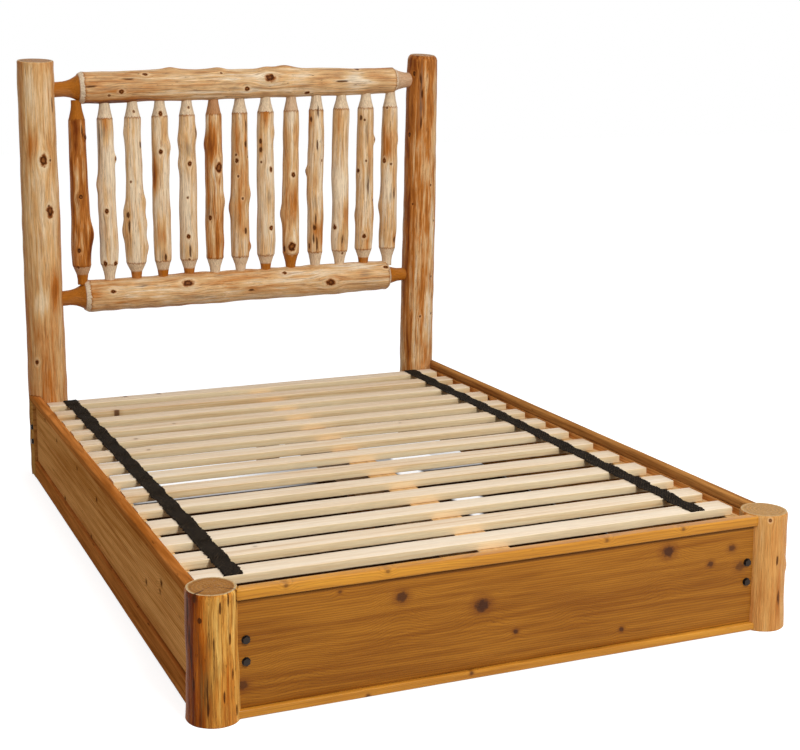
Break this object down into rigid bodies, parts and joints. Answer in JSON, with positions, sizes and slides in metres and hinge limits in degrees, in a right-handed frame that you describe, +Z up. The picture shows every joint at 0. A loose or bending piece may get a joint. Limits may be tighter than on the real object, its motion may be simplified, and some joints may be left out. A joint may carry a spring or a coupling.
{
  "type": "log bed frame",
  "caption": "Free-standing rustic queen bed of peeled cedar logs with a spindle headboard, board rails and footboard, and a loose slat deck held by webbing straps.",
  "frame": {"origin": "on the floor, under the middle of the whole bed", "axes": "+Z up, +Y towards the headboard, +X the right side seen from the foot"},
  "size_m": [1.647, 2.272, 1.5037],
  "materials": {
    "peeled_log": "varnished peeled cedar",
    "footboard_wood": "stained and varnished board",
    "rail_plank_wood": "stained and varnished board",
    "trim_wood": "golden varnished strip",
    "ledger_wood": "varnished strip",
    "slat_wood": "bare planed softwood",
    "framing_wood": "bare softwood",
    "strap_webbing": "woven black webbing",
    "staple_steel": "bright wire",
    "black_steel": "black coated",
    "screw_steel": "zinc plated"
  },
  "bodies": {
    "frame": {"beam_cleat": "framing_wood", "centre_beam": "framing_wood", "centre_legs": "framing_wood", "corner_blocks": "framing_wood", "foot_post_left": "peeled_log", "foot_post_right": "peeled_log", "footboard_bolt_nuts": "black_steel", "footboard_bolts": "black_steel", "footboard_bottom_trim": "trim_wood", "footboard_panel": "footboard_wood", "footboard_top_trim": "trim_wood", "head_post_left": "peeled_log", "head_post_right": "peeled_log", "headboard_bottom_rail": "peeled_log", "headboard_spindle_01": "peeled_log", "headboard_spindle_02": "peeled_log", "headboard_spindle_03": "peeled_log", "headboard_spindle_04": "peeled_log", "headboard_spindle_05": "peeled_log", "headboard_spindle_06": "peeled_log", "headboard_spindle_07": "peeled_log", "headboard_spindle_08": "peeled_log", "headboard_spindle_09": "peeled_log", "headboard_spindle_10": "peeled_log", "headboard_spindle_11": "peeled_log", "headboard_spindle_12": "peeled_log", "headboard_spindle_13": "peeled_log", "headboard_top_rail": "peeled_log", "rail_bolts": "black_steel", "rail_left_bottom_trim": "trim_wood", "rail_left_head_stile": "rail_plank_wood", "rail_left_ledger": "ledger_wood", "rail_left_lower_plank": "rail_plank_wood", "rail_left_top_trim": "trim_wood", "rail_left_upper_plank": "rail_plank_wood", "rail_right_bottom_trim": "trim_wood", "rail_right_head_stile": "rail_plank_wood", "rail_right_ledger": "ledger_wood", "rail_right_lower_plank": "rail_plank_wood", "rail_right_top_trim": "trim_wood", "rail_right_upper_plank": "rail_plank_wood", "wood_screws": "screw_steel"},
    "slat_deck": {"slat_01": "slat_wood", "slat_02": "slat_wood", "slat_03": "slat_wood", "slat_04": "slat_wood", "slat_05": "slat_wood", "slat_06": "slat_wood", "slat_07": "slat_wood", "slat_08": "slat_wood", "slat_09": "slat_wood", "slat_10": "slat_wood", "slat_11": "slat_wood", "slat_12": "slat_wood", "slat_13": "slat_wood", "slat_14": "slat_wood", "strap_left": "strap_webbing", "strap_right": "strap_webbing", "strap_staples": "staple_steel"}
  },
  "joints": [
    {"name": "slat_deck_lift", "type": "slide", "parent": "frame", "child": "slat_deck", "axis": [0, 0, 1], "range_m": [0, 0.2]}
  ]
}
